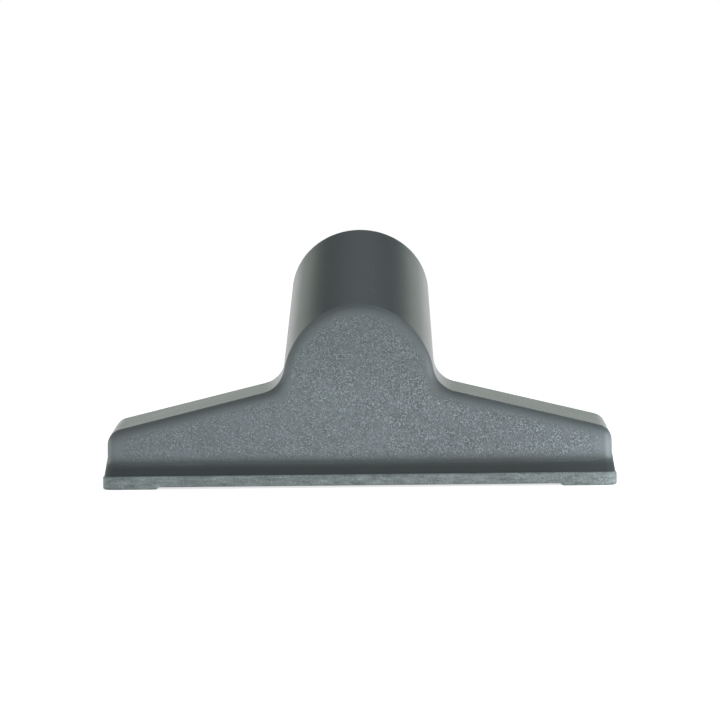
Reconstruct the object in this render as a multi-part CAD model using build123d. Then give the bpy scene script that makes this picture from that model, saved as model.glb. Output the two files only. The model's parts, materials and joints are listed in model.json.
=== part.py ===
from build123d import *
from math import cos, radians, sin, tan
import os

# Upholstery nozzle: one hollow moulding that leads a wide, low mouth into a round wand socket.
# X runs along the mouth, +Y points to the wand side and +Z points up.
# The origin is the middle of the mouth, in the plane the mouth rests on.
# Lengths are in millimetres and angles in degrees.

# Mouth flange
mouth_width = 128.7
mouth_depth = 32.0
flange_height = 3.35
flange_corner_radius = 3.0
flange_edge_chamfer = 0.3
lip_edge_radius = 0.5

# Front lip, relieved between two end feet; the steps are rounded in proportion to their height
foot_length = 13.6
lip_relief = 0.55
step_roundness = 1.6

# Skirt that spreads the housing out to the flange, gently along the mouth and steeply at its ends
skirt_overhang = 2.8
skirt_slope = 48.0
skirt_end_overhang = 1.0
skirt_end_height = 6.0
skirt_fillet_radius = 5.0

# Flared housing, with a front panel that leans back
wing_tip_height = 13.7
wing_slope = 13.55
wing_corner_radius = 4.0
wing_crown_radius = 12.0
housing_draft = 4.0
panel_lean = 4.0
panel_edge_radius = 2.5
back_edge_radius = 3.5

# Wand tube, measured along its axis from the foot of the panel to the rim
tube_angle = 21.0
tube_axis_height = 23.4
tube_length = 65.3
tube_draft = 0.9
rim_wall = 2.35
rim_edge_chamfer = 0.6
tube_root_radius = 7.0

# Hollow
wall = 2.4
socket_radius = 16.0
socket_depth = 36.0
socket_lead_in = 0.8
stop_step = 1.0
stop_length = 2.5
chamber_corner_radius = 3.0
chamber_edge_radius = 1.5

# Overshoot of a cutting shape past the face it cuts, and how near counts as touching
overshoot = 2.0
touch = 0.001

mouth_half = mouth_width / 2
depth_half = mouth_depth / 2
front_wall = skirt_overhang - depth_half
back_wall = depth_half - skirt_overhang
housing_half = mouth_half - skirt_end_overhang
slot_half = housing_half - wall
wing_rise = tan(radians(wing_slope))
skirt_rise = tan(radians(skirt_slope))
rim_radius = socket_radius + rim_wall

# Planes that bound the shape, each facing out of it
rest_plane = Plane(origin=(0, 0, 0), x_dir=(1, 0, 0), z_dir=(0, 0, -1))
draw_plane = Plane(origin=(0, front_wall - overshoot, 0), x_dir=(1, 0, 0), z_dir=(0, -1, 0))
panel_normal = Vector(0, -cos(radians(panel_lean)), sin(radians(panel_lean)))
panel_foot = (0, front_wall, flange_height + skirt_overhang * skirt_rise)
panel_plane = Plane(origin=panel_foot, x_dir=(1, 0, 0), z_dir=panel_normal)
inner_panel_plane = panel_plane.offset(-wall)
inner_back_plane = Plane(origin=(0, back_wall - wall, 0), x_dir=(1, 0, 0), z_dir=(0, 1, 0))

# Tube axis, from the upright plane at the foot of the panel up to the rim
axis_dir = Vector(0, cos(radians(tube_angle)), sin(radians(tube_angle)))
rim_centre = Vector(0, front_wall, tube_axis_height) + axis_dir * tube_length
rim_plane = Plane(origin=rim_centre, x_dir=(1, 0, 0), z_dir=axis_dir)
root_length = tube_length + rim_radius + overshoot
root_radius = rim_radius + root_length * tan(radians(tube_draft))
from_rim = (Align.CENTER, Align.CENTER, Align.MAX)


def inside(shape, *outward_planes):
    for plane in outward_planes:
        shape = split(shape, bisect_by=plane, keep=Keep.BOTTOM)
    return shape


def end_face(shape, direction):
    return shape.faces().sort_by(Axis((0, 0, 0), direction))[-1]


def raised_edges(face):
    return [edge for edge in face.edges() if edge.center().Z > touch]


# Plane of one wing top, which falls towards the tip and has draft from front to back
def wing_top(side, half, tip):
    lean = radians(housing_draft)
    slope = radians(wing_slope)
    normal = Vector(side * sin(slope) * cos(lean), -sin(lean), cos(slope) * cos(lean))
    return Plane(origin=(side * half, draw_plane.origin.Y, tip), z_dir=normal)


# Space under both wing tops, with a rounded crown, upright ends and rounded tips
def wing_block(half, tip, corner, back):
    floor = Rectangle(2 * half, back - draw_plane.origin.Y, align=(Align.CENTER, Align.MIN))
    block = extrude(Pos(0, draw_plane.origin.Y, 0) * floor, tip + half)
    block = inside(block, wing_top(-1, half, tip), wing_top(1, half, tip))
    block = fillet(block.edges().sort_by(Axis.Z)[-1], wing_crown_radius)
    end_edges = end_face(block, (1, 0, 0)).edges() + end_face(block, (-1, 0, 0)).edges()
    return fillet([edge for edge in end_edges if edge.center().Z > tip], corner)


def tube_cone(inset):
    return rim_plane * Cone(root_radius - inset, rim_radius - inset, root_length, align=from_rim)


def mouth_outline(width, depth, height):
    return Pos(0, 0, height) * RectangleRounded(width, depth, flange_corner_radius)


# Housing block with a rounded back
block = wing_block(housing_half, wing_tip_height, wing_corner_radius, back_wall)
block = fillet(raised_edges(end_face(block, (0, 1, 0))), back_edge_radius)

# Tube with an eased rim, trimmed flush with the block
tube = tube_cone(0)
tube = chamfer(end_face(tube, axis_dir).edges(), rim_edge_chamfer)
tube = inside(tube, draw_plane, rest_plane)

# Housing and tube blend into each other, then the panel is cut and its edge rounded
housing = block + tube
housing = fillet(new_edges(block, tube, combined=housing), tube_root_radius)
housing = inside(housing, panel_plane)
housing = fillet(raised_edges(end_face(housing, panel_normal)), panel_edge_radius)

# Flange, and the skirt that joins it to the housing with a hollow blend
flange = extrude(mouth_outline(mouth_width, mouth_depth, 0), flange_height)
flange = chamfer(end_face(flange, (0, 0, 1)).edges(), flange_edge_chamfer)
skirt_foot = mouth_outline(
    mouth_width - 2 * flange_edge_chamfer,
    mouth_depth - 2 * flange_edge_chamfer,
    flange_height,
)
skirt_head = mouth_outline(
    2 * housing_half,
    mouth_depth - 2 * skirt_end_height / skirt_rise,
    flange_height + skirt_end_height,
)
base = flange + loft([skirt_foot, skirt_head], ruled=True)
body = housing + base
body = fillet(new_edges(housing, base, combined=body), skirt_fillet_radius)

# Chamber open to the mouth, one wall inside the housing
inner_tip = wing_tip_height - wall / cos(radians(wing_slope)) + wall * wing_rise
chamber = wing_block(slot_half, inner_tip, chamber_corner_radius, back_wall - wall)
chamber = inside(chamber, inner_panel_plane)
chamber_front = raised_edges(end_face(chamber, panel_normal))
chamber_back = raised_edges(end_face(chamber, (0, 1, 0)))
chamber = fillet(chamber_front + chamber_back, chamber_edge_radius)

# Arch of the chamber under the tube root, up to the socket stop
stop_plane = rim_plane.offset(-socket_depth - stop_length)
arch = inside(tube_cone(wall), stop_plane, inner_panel_plane, inner_back_plane, rest_plane)

# Socket with a lead-in at the rim, and the narrower throat behind its stop
socket = Cylinder(socket_radius, socket_depth, align=from_rim)
lead_in = Cone(socket_radius, socket_radius + socket_lead_in, socket_lead_in, align=from_rim)
throat = Cylinder(socket_radius - stop_step, root_length, align=from_rim)
bore = inside(rim_plane * (socket + lead_in + throat), inner_panel_plane)
body = body - (chamber + arch) - bore

# Front lip relieved between the end feet
relief_half = mouth_half - foot_length
relief_points = [
    (-mouth_half, -overshoot),
    (mouth_half, -overshoot),
    (mouth_half, 0),
    (relief_half, 0),
    (relief_half - lip_relief, lip_relief),
    (lip_relief - relief_half, lip_relief),
    (-relief_half, 0),
    (-mouth_half, 0),
]
relief_outline = make_face(Polyline(*relief_points, close=True))
step_corners = [corner for corner in relief_outline.vertices() if abs(corner.X) < relief_half + touch]
relief_outline = fillet(step_corners, step_roundness * lip_relief)
body = body - extrude(Plane.XZ * relief_outline, depth_half + overshoot)

# Rounded edges along both sides of the lips, leaving out the seams that cross the front lip
low_edges = body.edges().filter_by(lambda edge: edge.center().Z < lip_relief + touch)
seams = low_edges.filter_by(Axis.Y).filter_by(lambda edge: abs(edge.center().X) < slot_half - touch)
body = fillet(low_edges - seams, lip_edge_radius)

os.makedirs("parts", exist_ok=True)
export_step(body, "parts/nozzle_body.step")
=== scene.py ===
import json
import math

import bpy
from mathutils import Matrix, Vector

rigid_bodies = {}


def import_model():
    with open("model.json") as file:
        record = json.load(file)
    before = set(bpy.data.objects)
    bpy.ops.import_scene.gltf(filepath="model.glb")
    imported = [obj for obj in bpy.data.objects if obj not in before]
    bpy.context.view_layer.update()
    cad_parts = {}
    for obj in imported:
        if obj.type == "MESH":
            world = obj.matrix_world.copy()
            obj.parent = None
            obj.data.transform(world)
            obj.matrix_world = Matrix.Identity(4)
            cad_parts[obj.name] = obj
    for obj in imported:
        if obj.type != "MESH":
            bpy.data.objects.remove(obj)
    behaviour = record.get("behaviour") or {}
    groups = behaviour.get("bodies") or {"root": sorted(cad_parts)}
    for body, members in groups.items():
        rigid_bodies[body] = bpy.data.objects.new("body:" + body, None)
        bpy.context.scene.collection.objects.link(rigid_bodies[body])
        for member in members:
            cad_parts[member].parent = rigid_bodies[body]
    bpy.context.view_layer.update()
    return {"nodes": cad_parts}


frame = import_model()
nozzle = frame["nodes"]["nozzle_body"]
scene = bpy.context.scene
print("loaded the nozzle body:", len(nozzle.data.polygons), "faces")


# small helpers for node work
def newTree(owner):
    owner.use_nodes = True
    owner.node_tree.nodes.clear()
    return owner.node_tree


def plug(tree, socket, value):
    if isinstance(value, bpy.types.NodeSocket):
        tree.links.new(value, socket)
    else:
        socket.default_value = value


def addNode(tree, kind, **sockets):
    node = tree.nodes.new(kind)
    for name, value in sockets.items():
        plug(tree, node.inputs[name], value)
    return node


def sums(tree, operation, *values):
    node = tree.nodes.new("ShaderNodeMath")
    node.operation = operation
    for socket, value in zip(node.inputs, values):
        plug(tree, socket, value)
    return node.outputs[0]


def vectors(tree, operation, *values):
    node = tree.nodes.new("ShaderNodeVectorMath")
    node.operation = operation
    for socket, value in zip(node.inputs, values):
        plug(tree, socket, value)
    return node.outputs["Value" if operation in ("LENGTH", "DOT_PRODUCT") else "Vector"]


# 0 up to "low" and 1 from "high" on, with a soft or an even rise between
def softStep(tree, value, low, high, rise="SMOOTHSTEP"):
    node = tree.nodes.new("ShaderNodeMapRange")
    node.interpolation_type = rise
    plug(tree, node.inputs["Value"], value)
    node.inputs["From Min"].default_value = low
    node.inputs["From Max"].default_value = high
    return node.outputs["Result"]


def blendColour(tree, share, first, second, way="MIX"):
    node = tree.nodes.new("ShaderNodeMix")
    node.data_type = "RGBA"
    node.blend_type = way
    plug(tree, node.inputs["Factor"], share)
    plug(tree, node.inputs[6], first)  # inputs 6 and 7 are the two colours, and output 2 is their blend
    plug(tree, node.inputs[7], second)
    return node.outputs[2]


def grainNoise(tree, place, size, detail, rough=0.5):
    node = tree.nodes.new("ShaderNodeTexNoise")
    plug(tree, node.inputs["Vector"], place)
    node.inputs["Scale"].default_value = 1.0 / size
    node.inputs["Detail"].default_value = detail
    node.inputs["Roughness"].default_value = rough
    return node.outputs["Fac"]


# the same noise, swinging round zero
def grainSwing(tree, place, size, detail):
    return sums(tree, "SUBTRACT", grainNoise(tree, place, size, detail), 0.5)


# random grey per cell, for the specks of a spark-eroded grain
def grainCells(tree, place, size):
    node = tree.nodes.new("ShaderNodeTexVoronoi")
    plug(tree, node.inputs["Vector"], place)
    node.inputs["Scale"].default_value = 1.0 / size
    return addNode(tree, "ShaderNodeSeparateColor", Color=node.outputs["Color"]).outputs[0]


# dark grey moulded plastic: satin all over, with a paler grain on the front panel and the lip; their
# paler tone is partly the grain's own and partly painted sheen
bodyPlastic = {
    "ior": 1.5,
    "satinColour": (0.050, 0.058, 0.058, 1),
    "satinRough": 0.24,
    "skinSize": 0.00016,                    # hint of relief on the satin
    "skinDepth": 0.04,
    "mottleSize": 0.011,                    # faint cloudiness all over
    "mottleTone": 0.18,
    "mottleRough": 0.05,
    "panelLow": (0.182, 0.206, 0.217, 1),   # panel colour at its foot and at the top of its arch; the paler foot is painted light from below
    "panelHigh": (0.130, 0.149, 0.156, 1),
    # heights over which that painted light from below fades into painted shade
    "panelShadeHeights": (0.022, 0.047),
    "panelRough": 0.52,
    "panelFoot": (0.0, -0.0132, 0.00646),   # a point on the panel, and its lean from upright
    "panelLean": 4.0,
    "panelWrap": (-0.0023, -0.0010),        # the finish ends this far behind the panel's plane
    "wingHalf": 0.06335,                    # upper edge of the wings: half length, tip height, slope
    "wingTip": 0.0139,
    "wingSlope": 13.55,
    "archHeight": 0.02387,                  # upper edge of the arch, a slightly tall circle
    "archRadius": 0.01937,
    "archSquash": 0.906,
    "archSpread": 0.0010,                   # the panel's tone starts a little sooner round the arch
    "rootBlend": 0.004,                     # rounding where the wings' edge meets the arch
    "edgeShadeFade": (-0.0005, 0.0045),          # tone and specks fade in below the upper edge; the tone's fade is painted shade on the edge's rounding
    "speckFade": (0.0008, 0.0035),
    "footFade": (0.0050, 0.0092),           # and fade out towards the skirt
    "endFade": (0.0010, 0.0070),            # the ends of the wings carry no specks
    "endGrain": 0.5,                        # and are rough half way from satin to panel
    "speckSize": 0.00022,
    "speckDepth": 1.15,
    "speckPower": 3.0,                      # few bright specks among many dull ones
    "speckSideLight": 4.0,                       # painted side light: the specks are painted stronger towards the right
    "patchSize": 0.0022,                    # specks come in denser and thinner patches
    "patchRange": (0.30, 0.70),
    "patchLeast": 0.6,
    "patchGain": 0.7,
    "grainSize": 0.00040,                   # relief under the specks
    "grainHeight": 0.00008,
    "lipCore": (0.06135, 0.0130, 1.0),      # the lip's outline without its corner rounding
    "lipWall": (0.0026, 0.0028),            # its outer wall starts this far out, and ends at its top
    "lipTop": (0.0034, 0.0033),
    "lipColour": (0.198, 0.227, 0.226, 1),
    "lipSpecks": 0.6,                       # weaker specks than the panel's, and half its grain
    "lipGrain": 0.5,
    "scuffSize": (0.0030, 0.0030, 0.0007),  # pale rubbed marks along the lip
    "scuffDepth": 1.3,
}


# distance inwards from the wing tip, and depth below the wings' sloping upper edge
def wingDepth(tree, look, across, height):
    slope = math.radians(look["wingSlope"])
    fromTip = sums(tree, "SUBTRACT", look["wingHalf"], sums(tree, "ABSOLUTE", across))
    edgeHeight = sums(tree, "MULTIPLY_ADD", fromTip, math.tan(slope), look["wingTip"])
    below = sums(tree, "SUBTRACT", edgeHeight, height)
    return fromTip, sums(tree, "MULTIPLY", below, math.cos(slope))


# depth inside the arch
def archDepth(tree, look, across, height):
    rise = sums(tree, "SUBTRACT", height, look["archHeight"])
    rise = sums(tree, "MULTIPLY", rise, look["archSquash"])
    spoke = addNode(tree, "ShaderNodeCombineXYZ", X=across, Z=rise).outputs[0]
    return sums(tree, "SUBTRACT", look["archRadius"], vectors(tree, "LENGTH", spoke))


# where the front panel is: shares of its tone and of its specks, and how far off the wing ends
def panelShares(tree, look, place, across, height):
    fromTip, underWing = wingDepth(tree, look, across, height)
    underArch = archDepth(tree, look, across, height)
    inside = sums(tree, "SMOOTH_MAX", underWing, underArch, look["rootBlend"])
    spread = sums(tree, "ADD", underArch, look["archSpread"])
    toned = sums(tree, "SMOOTH_MAX", underWing, spread, look["rootBlend"])

    lean = math.radians(look["panelLean"])
    facing = (0.0, -math.cos(lean), math.sin(lean))
    fromFoot = vectors(tree, "SUBTRACT", place, look["panelFoot"])
    distance = vectors(tree, "DOT_PRODUCT", fromFoot, facing)
    onFront = softStep(tree, distance, *look["panelWrap"])
    onFront = sums(tree, "MULTIPLY", onFront, softStep(tree, height, *look["footFade"]))

    # painted shade: the tone rises quickly below the edge and then levels off, darkening the edge's
    # rounding
    short = sums(tree, "SUBTRACT", 1.0, softStep(tree, toned, *look["edgeShadeFade"], "LINEAR"))
    pastEdgeShade = sums(tree, "SUBTRACT", 1.0, sums(tree, "MULTIPLY", short, short))
    panel = sums(tree, "MULTIPLY", pastEdgeShade, onFront)
    offEnd = softStep(tree, fromTip, *look["endFade"])
    specks = sums(tree, "MULTIPLY", onFront, softStep(tree, inside, *look["speckFade"]))
    return panel, sums(tree, "MULTIPLY", specks, offEnd), offEnd


# where the lip's outer wall is
def lipShare(tree, look, place, height):
    outward = vectors(tree, "SUBTRACT", vectors(tree, "ABSOLUTE", place), look["lipCore"])
    reach = vectors(tree, "LENGTH", vectors(tree, "MAXIMUM", outward, (0.0, 0.0, 0.0)))
    onWall = softStep(tree, reach, *look["lipWall"])
    return sums(tree, "MULTIPLY", onWall, softStep(tree, height, *look["lipTop"]))


# specks of the grain, as swings in brightness
def speckTone(tree, look, place, across):
    speck = sums(tree, "POWER", grainCells(tree, place, look["speckSize"]), look["speckPower"])
    speck = sums(tree, "SUBTRACT", speck, 1.0 / (look["speckPower"] + 1.0))
    patches = softStep(tree, grainNoise(tree, place, look["patchSize"], detail=1.0), *look["patchRange"])
    strength = sums(tree, "MULTIPLY_ADD", patches, look["patchGain"], look["patchLeast"])
    strength = sums(tree, "MULTIPLY", strength, look["speckDepth"])
    # painted side light: the specks grow stronger towards the right
    paintedSideLight = sums(tree, "MULTIPLY_ADD", across, look["speckSideLight"], 1.0)
    return sums(tree, "MULTIPLY", speck, sums(tree, "MULTIPLY", strength, paintedSideLight))


# rubbed marks, drawn out along the lip
def scuffTone(tree, look, place):
    drawnOut = vectors(tree, "DIVIDE", place, look["scuffSize"])
    return sums(tree, "MULTIPLY", grainSwing(tree, drawnOut, 1.0, detail=2.0), look["scuffDepth"])


def mouldedPlastic(name, look):
    material = bpy.data.materials.new(name)
    tree = newTree(material)
    place = addNode(tree, "ShaderNodeTexCoord").outputs["Object"]
    axes = addNode(tree, "ShaderNodeSeparateXYZ", Vector=place).outputs
    across = axes["X"]
    height = axes["Z"]
    panel, specks, offEnd = panelShares(tree, look, place, across, height)
    onLip = lipShare(tree, look, place, height)
    specks = sums(tree, "MAXIMUM", specks, sums(tree, "MULTIPLY", onLip, look["lipSpecks"]))
    mottle = grainSwing(tree, place, look["mottleSize"], detail=3.0)

    # colour: the panel is speckled and paler at its foot by painted light from below, and a faint
    # cloudiness lies all over
    paintedShadeUp = softStep(tree, height, *look["panelShadeHeights"], "LINEAR")
    panelColour = blendColour(tree, paintedShadeUp, look["panelLow"], look["panelHigh"])
    # the panel's and the lip's paler colour stands partly for painted sheen of their grain
    flat = blendColour(tree, panel, look["satinColour"], panelColour)
    flat = blendColour(tree, onLip, flat, look["lipColour"])
    cloudy = sums(tree, "MULTIPLY_ADD", mottle, look["mottleTone"], 1.0)
    speckled = sums(tree, "MULTIPLY", speckTone(tree, look, place, across), specks)
    rubbed = sums(tree, "MULTIPLY", scuffTone(tree, look, place), onLip)
    tone = sums(tree, "ADD", cloudy, sums(tree, "ADD", speckled, rubbed))
    toneColour = addNode(tree, "ShaderNodeCombineColor", Red=tone, Green=tone, Blue=tone).outputs[0]
    colour = blendColour(tree, 1.0, flat, toneColour, "MULTIPLY")

    # roughness: satin, rougher on the grain, and half way between on the wing ends and the lip
    endShare = sums(tree, "MULTIPLY_ADD", offEnd, 1.0 - look["endGrain"], look["endGrain"])
    grainy = sums(tree, "MULTIPLY", panel, endShare)
    grainy = sums(tree, "MAXIMUM", grainy, sums(tree, "MULTIPLY", onLip, look["lipGrain"]))
    rougher = look["panelRough"] - look["satinRough"]
    roughness = sums(tree, "MULTIPLY_ADD", grainy, rougher, look["satinRough"])
    roughness = sums(tree, "MULTIPLY_ADD", mottle, look["mottleRough"], roughness)

    # relief: grain on the panel, a hint of skin texture elsewhere
    grain = grainNoise(tree, place, look["grainSize"], detail=2.0, rough=0.55)
    skin = grainNoise(tree, place, look["skinSize"], detail=1.0)
    relief = sums(tree, "MULTIPLY_ADD", grain, specks, sums(tree, "MULTIPLY", skin, look["skinDepth"]))
    bump = addNode(tree, "ShaderNodeBump", Height=relief, Strength=1.0, Distance=look["grainHeight"])

    shader = addNode(tree, "ShaderNodeBsdfPrincipled", Roughness=roughness, Normal=bump.outputs[0])
    plug(tree, shader.inputs["Base Color"], colour)
    shader.inputs["IOR"].default_value = look["ior"]
    out = tree.nodes.new("ShaderNodeOutputMaterial")
    tree.links.new(shader.outputs[0], out.inputs["Surface"])
    return material


nozzle.data.materials.clear()
nozzle.data.materials.append(mouldedPlastic("bodyPlastic", bodyPlastic))
print("finished the nozzle body in dark grey plastic")


# pale table, near white to the eye and in reflections; it keeps the shadow
tableTop = {
    "half": 3.0,
    "colour": (0.86, 0.87, 0.87, 1),
    "lift": 0.72,  # glow that only the eye and reflections see
}


def paleTable(look):
    material = bpy.data.materials.new("paleTable")
    tree = newTree(material)
    cloth = addNode(tree, "ShaderNodeBsdfDiffuse", Color=look["colour"])
    rays = addNode(tree, "ShaderNodeLightPath").outputs
    mirrored = sums(tree, "MAXIMUM", rays["Is Glossy Ray"], rays["Is Transmission Ray"])
    seen = sums(tree, "MAXIMUM", rays["Is Camera Ray"], mirrored)
    glow = addNode(tree, "ShaderNodeEmission", Strength=sums(tree, "MULTIPLY", seen, look["lift"]))
    both = tree.nodes.new("ShaderNodeAddShader")
    tree.links.new(cloth.outputs[0], both.inputs[0])
    tree.links.new(glow.outputs[0], both.inputs[1])
    out = tree.nodes.new("ShaderNodeOutputMaterial")
    tree.links.new(both.outputs[0], out.inputs["Surface"])
    return material


def layTable(look):
    half = look["half"]
    mesh = bpy.data.meshes.new("tableTop")
    corners = [(-half, -half, 0), (half, -half, 0), (half, half, 0), (-half, half, 0)]
    mesh.from_pydata(corners, [], [(0, 1, 2, 3)])
    mesh.materials.append(paleTable(look))
    table = bpy.data.objects.new("tableTop", mesh)
    scene.collection.objects.link(table)


layTable(tableTop)
print("laid the pale table")

# studio room: white along the horizon, dimmer above, with a pale wall on either side, the right one
# brighter; each stop is a direction's height, from 0 for level to 1 for straight up, and its colour;
# a wall fades in over "start", measured sideways, and out over "top", measured upwards
studioRoom = {
    "stops": (
        (0.00, (1.00, 1.00, 1.00)),
        (0.09, (1.00, 1.00, 1.00)),
        (0.18, (0.59, 0.68, 0.61)),
        (0.28, (0.63, 0.70, 0.64)),
        (0.40, (0.30, 0.33, 0.31)),
        (0.52, (0.13, 0.14, 0.15)),
        (0.62, (0.25, 0.28, 0.30)),
        (0.72, (0.56, 0.63, 0.67)),
        (1.00, (0.17, 0.19, 0.185)),
    ),
    "walls": (
        {"side": -1, "colour": (0.58, 0.62, 0.58, 1), "start": (0.40, 0.75), "top": (0.90, 0.55)},
        {"side": 1, "colour": (0.95, 1.00, 0.96, 1), "start": (0.25, 0.60), "top": (0.50, 0.12)},
    ),
}


def hangRoom(look):
    world = bpy.data.worlds.new("studioRoom")
    scene.world = world
    tree = newTree(world)
    heading = addNode(tree, "ShaderNodeTexCoord").outputs["Generated"]
    axes = addNode(tree, "ShaderNodeSeparateXYZ", Vector=heading).outputs
    ramp = tree.nodes.new("ShaderNodeValToRGB")
    plug(tree, ramp.inputs["Fac"], axes["Z"])
    marks = ramp.color_ramp.elements
    while len(marks) < len(look["stops"]):
        marks.new(0.5)  # moved to its own place below
    for mark, (at, colour) in zip(marks, look["stops"]):
        mark.position = at
        mark.color = (*colour, 1)
    colour = ramp.outputs["Color"]
    for wall in look["walls"]:
        onWall = softStep(tree, sums(tree, "MULTIPLY", axes["X"], wall["side"]), *wall["start"])
        onWall = sums(tree, "MULTIPLY", onWall, softStep(tree, axes["Z"], *wall["top"]))
        colour = blendColour(tree, onWall, colour, wall["colour"], "LIGHTEN")
    room = addNode(tree, "ShaderNodeBackground", Color=colour, Strength=1.0)
    out = tree.nodes.new("ShaderNodeOutputWorld")
    tree.links.new(room.outputs[0], out.inputs["Surface"])


hangRoom(studioRoom)
print("hung the studio room")

# soft boxes: where each stands and looks, its size, its spread in degrees, its watts and its tint;
# the two farthest to the right are cooler, like daylight, and the narrow beams show in no reflection
softBoxes = {
    "nearBox": {
        "place": (0.16, -0.42, 0.06),
        "aim": (0.004, 0, 0.022),
        "size": (0.16, 0.20),
        "spread": 36,
        "watts": 0.049,
        "tint": (1.0, 1.0, 1.0),
        "mirrored": False,
    },
    "endBox": {
        "place": (0.34, -0.45, 0.09),
        "aim": (0.084, 0, 0.012),
        "size": (0.05, 0.12),
        "spread": 7,
        "watts": 0.016,
        "tint": (0.90, 0.95, 1.0),
        "mirrored": False,
    },
    "sideBox": {
        "place": (0.64, -0.24, 0.09),
        "aim": (0.05, 0, 0.015),
        "size": (0.40, 0.20),
        "spread": 180,
        "watts": 2.0,
        "tint": (0.90, 0.95, 1.0),
        "mirrored": True,
    },
    "leftBox": {
        "place": (-0.65, 0.05, 0.08),
        "aim": (-0.05, 0, 0.015),
        "size": (0.50, 0.20),
        "spread": 180,
        "watts": 0.45,
        "tint": (1.0, 1.0, 1.0),
        "mirrored": True,
    },
}


def hangBoxes(boxes):
    for name, box in boxes.items():
        lamp = bpy.data.lights.new(name, "AREA")
        lamp.shape = "RECTANGLE"
        lamp.size, lamp.size_y = box["size"]
        lamp.spread = math.radians(box["spread"])
        lamp.energy = box["watts"]
        lamp.color = box["tint"]
        holder = bpy.data.objects.new(name, lamp)
        scene.collection.objects.link(holder)
        holder.location = box["place"]
        holder.visible_camera = False
        holder.visible_glossy = box["mirrored"]
        beam = Vector(box["aim"]) - holder.location
        holder.rotation_euler = beam.to_track_quat("-Z", "Y").to_euler()


hangBoxes(softBoxes)
print("hung", len(softBoxes), "soft boxes")

# camera a little above the nozzle, almost square to the front panel; angles in degrees
frontCamera = {
    "aim": (0.000261, 0.0, 0.031058),
    "distance": 0.750,
    "azimuth": -0.6984,
    "elevation": 3.1263,
    "roll": -0.6473,
    "lens": 147.42,
    "sensor": 36.0,
    "nearest": 0.01,
}


def setCamera(view):
    turn, rise, roll = (math.radians(view[key]) for key in ("azimuth", "elevation", "roll"))
    ahead = Vector((math.sin(turn) * math.cos(rise), math.cos(turn) * math.cos(rise), -math.sin(rise)))
    level = Vector((math.cos(turn), -math.sin(turn), 0.0))
    upright = level.cross(ahead)
    across = level * math.cos(roll) + upright * math.sin(roll)
    rising = upright * math.cos(roll) - level * math.sin(roll)
    eye = Vector(view["aim"]) - ahead * view["distance"]
    data = bpy.data.cameras.new("frontCamera")
    data.sensor_width = view["sensor"]
    data.lens = view["lens"]
    data.clip_start = view["nearest"]
    camera = bpy.data.objects.new("frontCamera", data)
    scene.collection.objects.link(camera)
    turned = Matrix((across, rising, -ahead)).transposed().to_4x4()
    camera.matrix_world = Matrix.Translation(eye) @ turned
    scene.camera = camera


setCamera(frontCamera)
scene.view_settings.view_transform = "Standard"
print("camera set")
